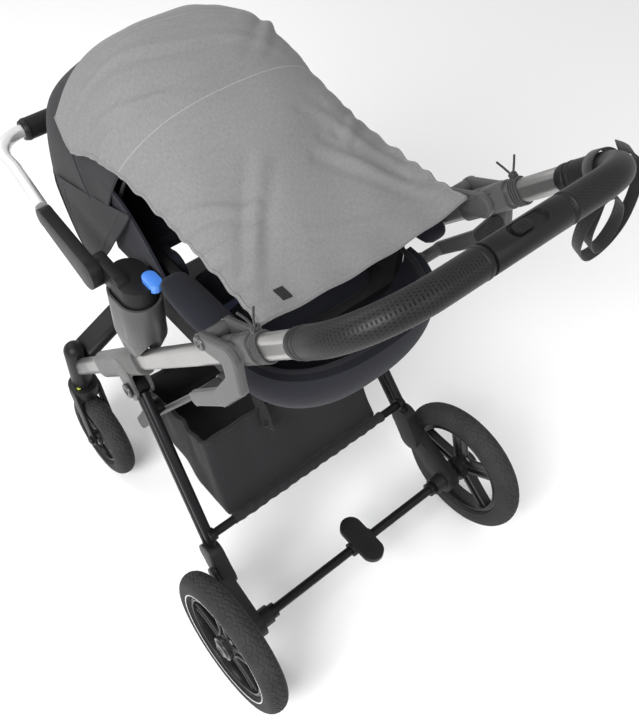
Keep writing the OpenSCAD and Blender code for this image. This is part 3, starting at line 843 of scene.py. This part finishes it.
def make_sunshade():
    """The grey sunshade: four strips that meet edge to edge."""
    rows, crest, end = shade_surface()
    near = crest + 17
    middle = crest + 36
    centre = SHADE_COLS // 2
    line = {i: rows[i][centre] for i in (crest, near, middle, end - 2)}
    cuts = [("over_hood", "", 0, crest, "backrest", "hood_front", *HOOD_BEND),
            ("by_hood", "_a", crest, near, "hood_front", "backrest", line[crest], line[near]),
            ("middle", "_b", near, middle, "backrest", "chassis", line[near], line[middle]),
            ("by_push_bar", "_c", middle, end, "chassis", "push_bar", line[middle], line[end - 2])]
    for name, _, first, last, a, b, start, stop in cuts:
        part = rows[first:last + 1]
        piece = bends(cloth(f"shade_{name}", part, 0.0012, "shade_fabric"), "shade_fabric", a, b, start, stop)
        if first == 0:
            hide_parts("shade")
    p = np.array(rows)
    normal = -grid_normals(p)
    # The crest's flat seam, lighter than the cloth
    seam = tube("shade_crest_seam", p[crest] + normal[crest] * 0.0002, 0.0015, "shade_seam", 8)
    rides(seam, "hood_front", "shade_fabric")
    for side, j in (("left", 1), ("right", -2)):
        for _, key, first, last, a, b, start, stop in cuts:
            column = p[first:last + 1, j]
            path, radius = (column, 0.0022) if key else (spline(column[::3], 3), 0.0024)
            hem = tube(f"shade_edge_{side}{key}", path, radius, "shade_fabric", 8)
            bends(hem, "shade_fabric", a, b, start, stop)
    rides(tube("shade_front_hem", p[0], 0.0012, "shade_fabric", 8), "backrest", "shade_fabric")
    # The tunnel hem at the push bar with two rows of stitches
    hem = tube("shade_tunnel_hem", p[end] + np.array([0, -0.001, -0.001]), 0.0042, "shade_fabric", 12)
    rides(hem, "push_bar", "shade_fabric")
    for k, back in enumerate((3, 5)):
        out = normal[end - back, 2:-2]
        path = p[end - back, 2:-2] + out * 0.0006
        row = stitches(f"shade_hem_stitch_{k}", path, out, "shade_seam", 0.004, 0.0028, 0.00035)
        bends(row, "shade_fabric", "chassis", "push_bar", line[middle], line[end - 2])
    for k, back in enumerate((2, 4)):
        for side, j in ((-1, -1 - back), (1, back)):
            out = normal[:crest + 1, j]
            path = p[:crest + 1, j] + out * 0.0006
            row = stitches(f"shade_edge_stitch_{k}_{side + 1}", path, out, "shade_seam", 0.005, 0.003, 0.0003)
            bends_with_hood(row, "shade_fabric")
    make_tag(p, normal, end)


def make_tag(p, normal, end):
    """A small blank black label sewn by the shade's left corner."""
    rows, cols = slice(end - 6, end - 1), slice(13, 18)
    tag = cloth("shade_tag", p[rows, cols] + normal[rows, cols] * 0.0016, 0.0008, "tag")
    centre = SHADE_COLS // 2
    bends(tag, "shade_fabric", "chassis", "push_bar", p[end - 24, centre], p[end - 2, centre])


def hood_trim():
    """Piping along the hood's crest, hem and the seams over its bows."""
    lines = (("crest", CREST - 3.5, -0.002), ("middle", 50.5, -0.001), ("hem", -4.5, -0.001))
    for name, angle, lift in lines:
        path = [hood_point(angle, 3 + 174 * j / 60, lift) for j in range(61)]
        pipe = tube(f"hood_piping_{name}", path, 0.0019, "piping", 8)
        if name == "hem":
            rides(pipe, "backrest", "hood_fabric")
        else:
            bends_with_hood(pipe, "hood_fabric")


# ---------------------------------------------------------------- seat


def make_seat():
    """Arm rails, cushion, backrest and foot end."""
    for side, name in SIDES:
        low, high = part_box(f"arm_rail_{name}")
        centre, size = (low + high) / 2, high - low
        rail = block(f"arm_pad_{name}", centre, tuple(size), "seat_fabric", 5, (0.004, 0.0, 0.006))
        puff(rail, 0.006)
        rides(rail, "chassis", "seat_fabric", f"arm_rail_{name}")
        edge = [(centre.x + side * (size.x / 2 - 0.002) * signed_power(math.cos(a), 0.3),
                 centre.y + (size.y / 2 - 0.004) * signed_power(math.sin(a), 0.3), centre.z + 0.002)
                for a in full_turn(80)]
        rides(tube(f"arm_piping_{name}", edge, 0.0017, "piping", 8, closed=True), "chassis", "seat_fabric")
    low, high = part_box("seat_cushion")
    pad = block("seat_pad", (low + high) / 2, high - low, "seat_fabric", 6, (0, 0, 0.006))
    puff(pad, 0.008)
    rides(pad, "chassis", "seat_fabric", "seat_cushion")
    make_backrest()
    make_foot_end()
    make_harness()


def make_backrest():
    # The board's own box is what lies beyond the joint's bosses
    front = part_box("backrest")[1].y
    back = SEAT.y + 0.058
    centre = Vector((0, (front + back) / 2, SEAT.z - 0.007))
    pad = block("backrest_pad", centre, (0.294, front - back, 0.03), "seat_fabric", 8, (0, 0, 0.006))
    puff(pad, 0.008)
    rides(pad, "backrest", "seat_fabric")


def foot_outline(grow):
    """Plan of the foot end from its left front corner round the back to the right: x, y from the axle."""
    half, back = 0.163 + grow, 0.009 - grow
    points = []
    for a in math.pi + math.pi * np.arange(57) / 56:
        depth = (FOOT_FRONT - back) * abs(math.sin(a)) ** 0.8
        points.append((half * signed_power(math.cos(a), 0.8), FOOT_FRONT - depth))
    return points


def make_foot_end():
    """Rounded padded end of the seat with a sewn rim and an upright seam."""
    low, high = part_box("leg_rest")
    rows = []
    for v in np.arange(17) / 16:
        z = low.z + 0.004 + (high.z - low.z - 0.006) * v
        tuck = 0.026 * (1 - v) ** 2.2
        outline = foot_outline(-0.004 + 0.005 * math.sin(math.pi * v))
        rows.append([tuple(at(x * (1 - tuck / 0.17), y + tuck * 0.8, z)) for x, y in outline])
    outer = np.array(rows)
    front = FOOT_FRONT + AXLE_Y
    floor = [[(x * f, front + (y - front) * f, z - 0.003 * (1 - f)) for x, y, z in outer[0]]
             for f in np.arange(8) / 8]
    shell = cloth("foot_end", np.concatenate([np.array(floor), outer]), -0.014, "seat_fabric")
    rides(shell, "leg_rest", "seat_fabric", "leg_rest")
    middle = outer[:, outer.shape[1] // 2]
    for name, path, shift, radius, sides in (("foot_rim", outer[-1], (0, 0.004, 0.001), 0.0042, 10),
                                             ("foot_seam", middle, (0.02, -0.0008, 0), 0.0016, 8)):
        rides(tube(name, path + np.array(shift), radius, "piping", sides), "leg_rest", "seat_fabric")


def make_harness():
    low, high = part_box("harness")
    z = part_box("seat_cushion")[1].z + 0.004
    for side in (-1, 1):
        points = [at(side * 0.02, 0.219, z + 0.004), at(side * 0.07, 0.222, z),
                  at(side * 0.12, 0.22, z + 0.002)]
        belt = tube(f"harness_belt_{side + 1}", spline(points, 10), 0.012, "navy_webbing", 10, flat=0.12)
        rides(belt, "chassis", "webbing")
    centre = ((low.x + high.x) / 2, (low.y + high.y) / 2, high.z - 0.007)
    buckle = block("harness_buckle", centre, (0.04, 0.046, 0.016), "black_plastic")
    rides(buckle, "chassis", "webbing", "harness")


# ---------------------------------------------------------------- basket


def basket_ring(y_back, y_front, half, radius):
    """A rounded rectangle in plan, anticlockwise from the middle of its back edge."""
    corners = [(half - radius, y_back + radius, -90), (half - radius, y_front - radius, 0),
               (-half + radius, y_front - radius, 90), (-half + radius, y_back + radius, 180)]
    arcs = [(x + radius * math.cos(a), y + radius * math.sin(a))
            for x, y, start in corners for a in (math.radians(start + 90 * k / 8) for k in range(9))]
    d = np.array([(0.0, y_back), *arcs, (0.0, y_back)])
    s = arc_lengths(d)
    want = np.linspace(0, s[-1], BASKET_COUNT, endpoint=False)
    return np.stack([np.interp(want, s, d[:, 0]), np.interp(want, s, d[:, 1])], 1)


def basket_top(y):
    """Height of the hem at a distance ahead of the rear axle."""
    return float(np.interp(y, [0.19, 0.214, 0.442], [0.420, 0.418, 0.345]))


def widen(y):
    """The bag is wider where it is laced to the rear bar than between the links."""
    f = min(1.0, max(0.0, (0.31 - y) / 0.07))
    return 1 + 0.06 * f * f * (3 - 2 * f)


def make_basket():
    """A soft woven bag: a sagging floor that turns up into four walls with a wrapped hem."""
    floor_z, middle_y = 0.256, 0.295
    rows = []
    for f in np.arange(1, 12) / 12:
        ring = (basket_ring(0.154, 0.436, 0.168, 0.02) - [0, middle_y]) * f + [0, middle_y]
        z = floor_z - 0.003 * math.cos(f * math.pi / 2)
        rows.append([tuple(at(x * (1 + (widen(y) - 1) * f), y, z)) for x, y in ring])
    ring_low = basket_ring(0.150, 0.438, 0.169, 0.009)
    ring_top = basket_ring(0.214, 0.441, 0.170, 0.010)
    for v in np.arange(23) / 22:
        rise = v ** 0.9
        row = []
        for k, (low_p, top_p) in enumerate(zip(ring_low, ring_top)):
            x, y = low_p + (top_p - low_p) * rise
            x *= widen(y)
            z = floor_z + (basket_top(top_p[1]) - floor_z) * rise
            a = 2 * math.pi * k / BASKET_COUNT
            fold = 0.0022 * math.sin(9 * a + 2 * v) * math.sin(math.pi * v)
            fold += 0.0016 * math.sin(23 * a + 1.1) * v
            inward = 0.005 * math.sin(math.pi * v) + fold
            length = math.hypot(x, y - 0.3)
            row.append(tuple(at(x - x / length * inward, y - (y - 0.3) / length * inward, z)))
        rows.append(row)
    p = np.array(rows)
    p = np.concatenate([p, p[:, :1]], 1)
    bend = at(0, 0.30, 0.36), at(0, 0.145, 0.262)
    bag = cloth("basket_bag", p, 0.0016, "basket_fabric")
    bends(bag, "basket_fabric", "chassis", "rear_frame", *bend)
    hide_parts("basket")
    hem = tube("basket_hem", p[-1, :-1], 0.0042, "basket_fabric", 10, closed=True)
    bends(hem, "basket_fabric", "chassis", "rear_frame", *bend)
    # Cloth wrapped round the rear bar
    centre = middle_of("basket_bar")
    xs = np.linspace(-0.180, 0.180, 130)
    wrap = tube("basket_bar_wrap", [(x, centre.y, centre.z) for x in xs],
                [0.0098 + 0.0007 * math.sin(x * 260) + 0.0004 * math.sin(x * 97 + 2) for x in xs],
                "basket_fabric", 16)
    rides(wrap, "rear_frame", "basket_fabric")
    make_basket_tab()


def make_basket_tab():
    """A short flap with a round snap that closes the basket's back."""
    x = -0.060
    path = spline([at(x, 0.228, 0.418), at(x, 0.216, 0.431), at(x, 0.203, 0.420), at(x, 0.189, 0.386)], 8)
    tab = tube("basket_tab", path, 0.017, "basket_fabric", 16, flat=0.1)
    rides(tab, "chassis", "basket_fabric")
    outline = [(0.0004, 0), (0.0075, 0), (0.0075, 0.002), (0.005, 0.0032), (0.0004, 0.0034)]
    snap = lathe("basket_snap", outline, (0, 0, 0), "black_plastic", 32)
    snap.data.transform(Matrix.Rotation(math.radians(-90), 4, "Z"))
    snap.data.transform(Matrix.Translation(at(x, 0.192, 0.400)))
    rides(snap, "chassis", "basket_fabric")


# ---------------------------------------------------------------- wheels


def tread(wave_count, half, depth):
    """Depth of the tyre's grooves at an angle and a distance across."""

    def groove(a, x, r):
        top = np.clip((r - r.max() * 0.90) / (r.max() * 0.05), 0, 1)
        cut = np.zeros_like(x + a)
        for shift in (-1, 1):
            line = shift * half * 0.34 + 0.12 * half * np.sin(wave_count * a + (shift + 1) * 0.8)
            cut = np.maximum(cut, np.exp(-((x - line) / (0.045 * half)) ** 2))
        middle = np.exp(-((x - 0.1 * half * np.sin(wave_count * a)) / (0.035 * half)) ** 2) * 0.7
        cut = np.maximum(cut, middle)
        slit = np.abs(((a * wave_count * 2 / (2 * math.pi) + 0.35 * x / half) % 1) - 0.5)
        out = np.abs(x) / half
        side = np.clip((out - 0.5) / 0.08, 0, 1) * np.clip((0.86 - out) / 0.06, 0, 1)
        cut = np.maximum(cut, np.exp(-(slit / 0.11) ** 2) * side)
        return cut * depth * top

    return groove


def tyre_profile(radius, width, inner):
    """Closed outline of (radius, x): a round tread and sidewalls down to the bead."""
    half = width / 2
    middle = radius - half
    start = -math.acos(max(-1, min(1, (inner - middle) / half)))
    angles = np.linspace(start, -start, 64)
    outline = [(middle + half * math.cos(a), half * math.sin(a)) for a in angles]
    return outline + [(inner, -outline[0][1] * 0.6), (inner, outline[0][1] * 0.6)]


def make_wheels():
    kinds = (("rear", 0.145, 0.046, 0.106, 46), ("front", 0.099, 0.042, 0.066, 34))
    for kind, radius, width, inner, waves in kinds:
        for side, name in SIDES:
            centre = middle_of(f"{kind}_tyre_{name}")
            body = f"{kind}_wheel_{name}"
            tyre = lathe(f"{kind}_tyre_tread_{name}", tyre_profile(radius, width, inner), centre, "tyre", 900,
                         tread(waves, width / 2, 0.0022))
            rides(tyre, body, "tyre", f"{kind}_tyre_{name}")
            bead_r = inner + 0.004
            for face in (-1, 1):
                bead = ring_profile(bead_r, face * bead_x(bead_r, radius, width), 0.0022)
                rides(lathe(f"{kind}_bead_{name}_{face + 1}", bead, centre, "tyre", 160), body, "tyre")
            if kind == "rear":
                stripe_r = 0.1125
                stripe = ring_profile(stripe_r, side * (bead_x(stripe_r, radius, width) - 0.0002), 0.0012)
                rides(lathe(f"rear_stripe_{name}", stripe, centre, "stripe", 200), body, "tyre")
            make_hub(kind, name, side, centre, body)


def bead_x(r, radius, width):
    half = width / 2
    return math.sqrt(max(half ** 2 - (r - (radius - half)) ** 2, 0))


def ring_profile(r, x, thick):
    return [(r + thick * math.cos(a), x + thick * 0.7 * math.sin(a)) for a in full_turn(10)]


def make_hub(kind, name, side, centre, body):
    """Domed cap over the axle end, with a ring and a small recess."""
    outer, r, rim_r, rim_x = HUBS[kind]
    profile = [(0.0003, 0.0022), (r * 0.4, 0.0022), (r * 0.5, 0.0032), (r * 0.8, 0.0026), (r, 0.0008),
               (r, -0.004), (0.0003, -0.004)]
    cap = lathe(f"{kind}_hub_cap_{name}", [(a, (outer + b) * side) for a, b in profile], centre, "rim", 48)
    rides(cap, body, "rim")
    for face in (-1, 1):
        lip = ring_profile(rim_r, face * rim_x, 0.0022)
        rides(lathe(f"{kind}_rim_lip_{name}_{face + 1}", lip, centre, "rim", 160), body, "rim")


# ---------------------------------------------------------------- push bar and bumper bar


def push_line():
    """Half of the push bar's line, from the left grip's start round the corner."""
    start = Vector(TUBE_FOOT) + ALONG * 0.976
    corner = BAR_MIDDLE + Vector((CORNER_R - TUBE_X, 0, 0)) - ALONG * CORNER_R
    arc = [math.pi - math.pi / 2 * k / 14 for k in range(15)]
    bend = [corner + CORNER_R * (math.cos(a) * Vector((1, 0, 0)) + math.sin(a) * ALONG) for a in arc]
    return [start + Vector((-TUBE_X, 0, 0)), *bend]


def resample(points, step):
    p = vectors(points)
    s = arc_lengths(p)
    want = np.linspace(0, s[-1], max(2, int(s[-1] / step)))
    return np.stack([np.interp(want, s, p[:, c]) for c in range(3)], 1)


def make_grips():
    """Perforated covers with end bands and a stitched seam, on the push bar and the bumper bar."""
    left = resample([*push_line(), BAR_MIDDLE + Vector((-0.0585, 0, 0))], 0.004)
    for side, name in SIDES:
        path = left * np.array([-side, 1, 1])
        make_grip("grip", f"_{name}", path, 0.0190, -np.array(ABOVE), "push_bar", f"grip_{name}")
        collar = [np.array(path[0]) + np.array(ALONG) * d for d in np.linspace(-0.012, 0.002, 8)]
        radii = [0.0176, 0.0182, 0.0186, 0.0188, 0.0188, 0.0188, 0.0187, 0.0184]
        rides(tube(f"grip_collar_{name}", collar, radii, "black_plastic", 28), "push_bar", "grip_leather")
    low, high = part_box("bumper_grip")
    centre = (low + high) / 2
    path = np.array([(x, centre.y, centre.z) for x in np.arange(low.x, high.x + 0.001, 0.004)])
    make_grip("bumper", "", path, 0.0180, np.array((0, 0, -1.0)), "bumper", "bumper_grip")


def make_grip(kind, tail, path, r, under, body, node):
    """A padded cover along a path, with a stitched seam below and a band near each end."""
    cover = tube(f"{kind}_cover{tail}", path, grip_radius(len(path), r), "grip_leather", 32)
    rides(cover, body, "grip_leather", node)
    row = stitches(f"{kind}_stitch{tail}", path + under * (r - 0.0002), [under] * len(path), radius=0.0006)
    rides(row, body, "grip_leather")
    for k, index in enumerate((2, -3)):
        rides(band(f"{kind}_band{tail}_{k}", path, index, r + 0.0004), body, "grip_leather")


def grip_radius(count, r):
    out = np.full(count, r)
    for k, f in enumerate((0.90, 0.96, 0.99)):
        out[k] = out[-1 - k] = r * f
    return out


def band(name, path, index, r):
    centre = np.array(path[index])
    before = index if index >= 0 else index - 1
    t = path[before + 1] - path[before]
    t /= np.linalg.norm(t)
    return tube(name, [centre + t * d for d in (-0.003, -0.002, 0, 0.002, 0.003)],
                [r * 0.985, r, r * 1.004, r, r * 0.985], "black_plastic", 32)


def make_ties():
    """Elastic cord wound round each tube and knotted, with two ends, and its lead to the shade's corner."""
    along, above, base = np.array(ALONG), np.array(ABOVE), np.array(TUBE_FOOT)
    for side, name in SIDES:
        centre = base + (side * TUBE_X, 0, 0)
        path = []
        turns, steps = 4, 24
        for k in range(turns * steps + 1):
            a = 2 * math.pi * k / steps
            wide = 0.0128 * signed_power(math.cos(a), 0.8)
            tall = 0.0190 * signed_power(math.sin(a), 0.8)
            path.append(centre + along * (0.872 + 0.0048 * k / steps) + (wide, 0, 0) + above * tall)
        made = [tube("wound", path, 0.0017, "elastic", 8)]
        knot_at = centre + along * 0.881 + above * 0.0225
        knot = [knot_at + 0.0042 * np.array(
            (math.cos(3 * a), 0.8 * math.sin(2 * a), 0.7 * math.cos(5 * a) + 0.3))
                for a in full_turn(60)]
        made.append(tube("knot", knot, 0.0019, "elastic", 8, closed=True))
        for lean in (-1, 1):
            tip = knot_at + above * 0.026 + along * 0.012 * lean + (0.006 * lean, 0, 0)
            bend = knot_at + above * 0.014 + along * 0.010 * lean
            made.append(tube("end", spline([knot_at, bend, tip], 8), 0.0016, "elastic", 8))
        corner = np.array(at(side * 0.184, 0.050, 0.879))
        lead = spline([corner, (corner + path[0]) / 2 + [0, 0, 0.002], path[0]], 8)
        made.append(tube("lead", lead, 0.0017, "elastic", 8))
        cord = rides(joined(f"shade_tie_{name}", made), "push_bar", "elastic")
        if side < 0:
            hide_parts("shade_ties")


def make_strap():
    """Webbing strap: a keeper round the push bar's right corner and two slack loops hanging from it."""
    turn = 0.25
    out = Vector((math.cos(turn), 0, 0)) + ALONG * math.sin(turn)
    along = Vector((-math.sin(turn), 0, 0)) + ALONG * math.cos(turn)
    flat_out = along.cross(out).normalized()
    centre = BAR_MIDDLE - ALONG * CORNER_R + Vector((TUBE_X - CORNER_R, 0, 0)) + out * CORNER_R
    ring = vectors([centre + (out * math.cos(a) + flat_out * math.sin(a)) * 0.0222 for a in full_turn(48)])
    keeper = ribbon("wrist_keeper", ring, vectors([along] * len(ring)), 0.022, True)
    rides(keeper, "push_bar", "webbing")
    points = [(0.222, -0.118, 1.058), (0.244, -0.133, 1.043), (0.246, -0.147, 1.010), (0.236, -0.152, 0.966),
              (0.208, -0.154, 0.940), (0.166, -0.156, 0.940), (0.134, -0.158, 0.972), (0.130, -0.158, 1.008),
              (0.150, -0.156, 1.034), (0.180, -0.154, 1.030), (0.204, -0.156, 1.004), (0.204, -0.158, 0.972),
              (0.182, -0.160, 0.952), (0.160, -0.160, 0.962), (0.148, -0.158, 0.990), (0.156, -0.154, 1.018),
              (0.172, -0.146, 1.044)]
    path = spline([at(*q) for q in points], 8)
    strap = ribbon("wrist_webbing", path, np.array([(0.05, 0.94, 0.34)] * len(path)), 0.016)
    rides(strap, "push_bar", "webbing", "wrist_strap")


def ribbon(name, path, across, width, closed=False):
    """Flat webbing along a path, its width lying along the given directions."""
    n = len(path)
    t = np.roll(path, -1, 0) - np.roll(path, 1, 0) if closed else np.gradient(path, axis=0)
    t /= np.linalg.norm(t, axis=1, keepdims=True)
    a = across - t * (across * t).sum(1, keepdims=True)
    a /= np.linalg.norm(a, axis=1, keepdims=True)
    out = np.cross(t, a)
    w, h = width / 2, 0.0009
    shape = [(-w, -h * 0.3), (-w, h * 0.3), (-w * 0.93, h), (0, h), (w * 0.93, h), (w, h * 0.3),
             (w, -h * 0.3), (w * 0.93, -h), (0, -h), (-w * 0.93, -h)]
    verts = np.concatenate([[path[i] + a[i] * x + out[i] * y for x, y in shape] for i in range(n)])
    uv = [(x, length) for length in arc_lengths(path) for x, _ in shape]
    return new_mesh(name, verts, ring_faces(n, len(shape), closed), "webbing", uv)


# ---------------------------------------------------------------- small fittings


def disc(name, centre, r, depth, side, material):
    """A round boss or screw head that faces sideways."""
    profile = [(0.0002, depth * 0.55), (r * 0.45, depth * 0.55), (r * 0.45, depth), (r * 0.9, depth),
               (r, depth * 0.7), (r, -0.001), (0.0002, -0.001)]
    return lathe(name, [(a, b * side) for a, b in profile], centre, material, 32)


def rounded_bar(p, q, r_p, r_q, x, half, edge=0.005):
    """Closed mesh of a flat bar in the Y-Z plane with round ends and rounded edges."""
    p, q = np.array(p, float), np.array(q, float)
    d = q - p
    turn = math.atan2(d[1], d[0])
    limit = math.acos(max(-1, min(1, (r_p - r_q) / np.linalg.norm(d))))
    verts, around, rings = [], 40, 9
    for f in np.linspace(-math.pi / 2, math.pi / 2, rings):
        inset = edge * (1 - math.cos(f))
        for k in range(around):
            a = -math.pi + 2 * math.pi * k / around
            centre, r = (q, r_q - inset) if abs(a) < limit else (p, r_p - inset)
            y, z = centre[0] + r * math.cos(a + turn), centre[1] + r * math.sin(a + turn)
            verts.append((x + half * math.sin(f), y, z))
    return verts, ring_faces(rings, around)


def melted(name, meshes, material, voxel=0.0016, smooth=8):
    """Several closed meshes run together into one soft moulding of the brackets."""
    obj = joined(name, [new_mesh(f"{name}_{i}", v, f, material) for i, (v, f) in enumerate(meshes)])
    remesh = obj.modifiers.new("remesh", "REMESH")
    remesh.mode, remesh.voxel_size = "VOXEL", voxel
    soften = obj.modifiers.new("soften", "SMOOTH")
    soften.iterations, soften.factor = smooth, 0.5
    bake_modifiers(obj)
    shade_smooth(obj.data)
    rides(obj, "push_bar", "grey_bracket")


def on_tube(s, n):
    """The y and z of a point, s along the main tube and n above its axis."""
    c, k = math.cos(TILT), math.sin(TILT)
    return (AXLE_Y + 0.600 - s * k + n * c, 0.280 + s * c + n * k)


def make_brackets():
    """Rounded covers over the fold brackets and their knees."""
    link = pivot("link_left_pivot")
    pin = (FOLD.y, FOLD.z)
    foot = (FOLD.y + link.y - LEG.y, FOLD.z + link.z - LEG.z)
    knees = [on_tube(0.824, 0.0), on_tube(0.800, -0.037), on_tube(0.735, -0.054)]
    for side, name in SIDES:
        x = side * 0.2379
        bars = [rounded_bar(pin, knees[0], 0.0128, 0.0188, x, 0.0070),
                rounded_bar(knees[0], knees[1], 0.0184, 0.0172, x, 0.0072),
                rounded_bar(knees[1], knees[2], 0.0170, 0.0142, x, 0.0072),
                rounded_bar(knees[2], foot, 0.0140, 0.0120, x, 0.0070)]
        melted(f"bracket_cover_{name}", bars, "grey_bracket")
        inner = rounded_bar(pin, knees[0], 0.0128, 0.0188, side * 0.1986, 0.0062)
        melted(f"bracket_inner_{name}", [inner], "grey_bracket")
        pad = rounded_bar(knees[1], on_tube(0.748, -0.051), 0.0125, 0.0105, x - side * 0.0068, 0.0022, 0.001)
        melted(f"bracket_pad_{name}", [pad], "chevron", 0.0010, 2)


def make_spokes():
    """Raised double spokes and a round hub plate on the outer face of each wheel."""
    kinds = (("rear", 0.024, 0.1005, 0.0062, 0.0046), ("front", 0.017, 0.0605, 0.0066, 0.0036))
    for kind, hub, outer, face, thick in kinds:
        for side, name in SIDES:
            c = middle_of(f"{kind}_tyre_{name}")
            steps = np.arange(12) / 11
            radii = [thick * (1 - 0.12 * math.sin(math.pi * f)) for f in steps]
            made = []
            for a in full_turn(5):
                out, across = np.array((math.cos(a), math.sin(a))), np.array((-math.sin(a), math.cos(a)))
                for twin in (-1, 1):
                    path = []
                    for f in steps:
                        r = hub * 0.8 + (outer - hub * 0.8) * f
                        y, z = out * r + across * (twin * hub * (0.36 + 0.05 * f))
                        dish = face + 0.0028 * (1 - f) ** 2 + 0.0012 * f
                        path.append((c.x + side * dish, c.y + y, c.z + z))
                    made.append(tube("spoke", path, radii, "rim", 10))
            plate = [(0.0003, 0.0165), (hub * 0.55, 0.0160), (hub * 0.95, 0.0142), (hub * 1.22, 0.0105),
                     (hub * 1.28, 0.006), (hub * 1.28, 0.001), (0.0003, 0.001)]
            made.append(lathe("plate", [(r, x * side) for r, x in plate], c, "rim", 60))
            rides(joined(f"{kind}_spokes_{name}", made), f"{kind}_wheel_{name}", "rim")


def rib(name, path, r, body):
    rides(tube(name, path, r, "black_plastic", 8), body, "black_plastic")


def make_fittings():
    """Screw heads, bosses and small trims."""
    for side, name in SIDES:
        x_out = abs(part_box(f"hinge_arm_{name}")[1 if side > 0 else 0].x)
        for key, where, x, r, body, slot in (("fold_boss", FOLD, x_out, 0.0105, "push_bar", "grey_bracket"),
                                             ("leg_boss", LEG, 0.2385, 0.0135, "chassis", "frame_casting")):
            rides(disc(f"{key}_{name}", (side * x, where.y, where.z), r, 0.004, side, "screw"), body, slot)
        low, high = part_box(f"swivel_{name}")
        centre = (low.x + 0.006 if side < 0 else high.x - 0.006, low.y + 0.010, low.z - 0.003)
        dot = block(f"swivel_mark_{name}", centre, (0.008, 0.008, 0.004), "lime", 3, cells=6)
        rides(dot, "chassis", "button_blue")
    low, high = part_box("front_bridge")
    y, z = (low.y + high.y) / 2 + 0.006, high.z - 0.013
    for k in (-1, 0, 1):
        arc = np.linspace(0.15, math.pi - 0.15, 24)
        path = [(0.028 * k, y + 0.0295 * math.cos(a), z + 0.0142 * math.sin(a)) for a in arc]
        rib(f"bridge_rib_{k + 1}", path, 0.0024, "chassis")
    low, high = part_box("brake_pedal")
    for k in range(5):
        y = low.y + 0.018 + 0.010 * k
        path = [(low.x + 0.018 + d, y, high.z + 0.0002) for d in np.linspace(0, 0.020, 8)]
        rib(f"pedal_rib_{k}", path, 0.0012, "brake_pedal")
    low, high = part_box("fold_slider")
    for k in range(5):
        depths = np.linspace(0, high.y - low.y - 0.006, 6)
        path = [(low.x + 0.006 + 0.0035 * k, low.y + 0.003 + d, high.z) for d in depths]
        rib(f"slider_rib_{k}", path, 0.0008, "fold_slider")


# ---------------------------------------------------------------- stage


def make_stage():
    size = 8.0
    mesh = bpy.data.meshes.new("floor")
    corners = [(-size, -size, 0), (size, -size, 0), (size, size, 0), (-size, size, 0)]
    mesh.from_pydata(corners, [], [(0, 1, 2, 3)])
    floor = added("floor", mesh)
    s = Shader("floor", (0.93, 0.93, 0.93), 0.9)
    s.set("Specular IOR Level", 0.1)
    mesh.materials.append(s.mat)
    world = bpy.data.worlds.new("world")
    world.use_nodes = True
    world.node_tree.nodes["Background"].inputs[0].default_value = (1, 1, 1, 1)
    world.node_tree.nodes["Background"].inputs[1].default_value = 0.62
    bpy.context.scene.world = world
    lamps = (("key", (-2.4, -1.0, 2.6), 120, 1.6), ("fill", (0.4, -2.4, 2.8), 20, 2.0),
             ("rim", (-0.8, 2.2, 2.6), 22, 1.6))
    for name, where, power, width in lamps:
        data = bpy.data.lights.new(name, "AREA")
        data.energy, data.size = power, width
        lamp = added(name, data)
        lamp.location = where
        lamp.rotation_mode = "QUATERNION"
        lamp.rotation_quaternion = (Vector((0, 0, 0.5)) - Vector(where)).to_track_quat("-Z", "Y")
    bpy.context.scene.view_settings.view_transform = "Standard"


make_camera()
finish_cad_nodes()
make_hood()
make_ears()
hood_trim()
make_sunshade()
make_seat()
make_basket()
make_wheels()
make_grips()
make_ties()
make_strap()
make_brackets()
make_spokes()
make_fittings()
make_stage()
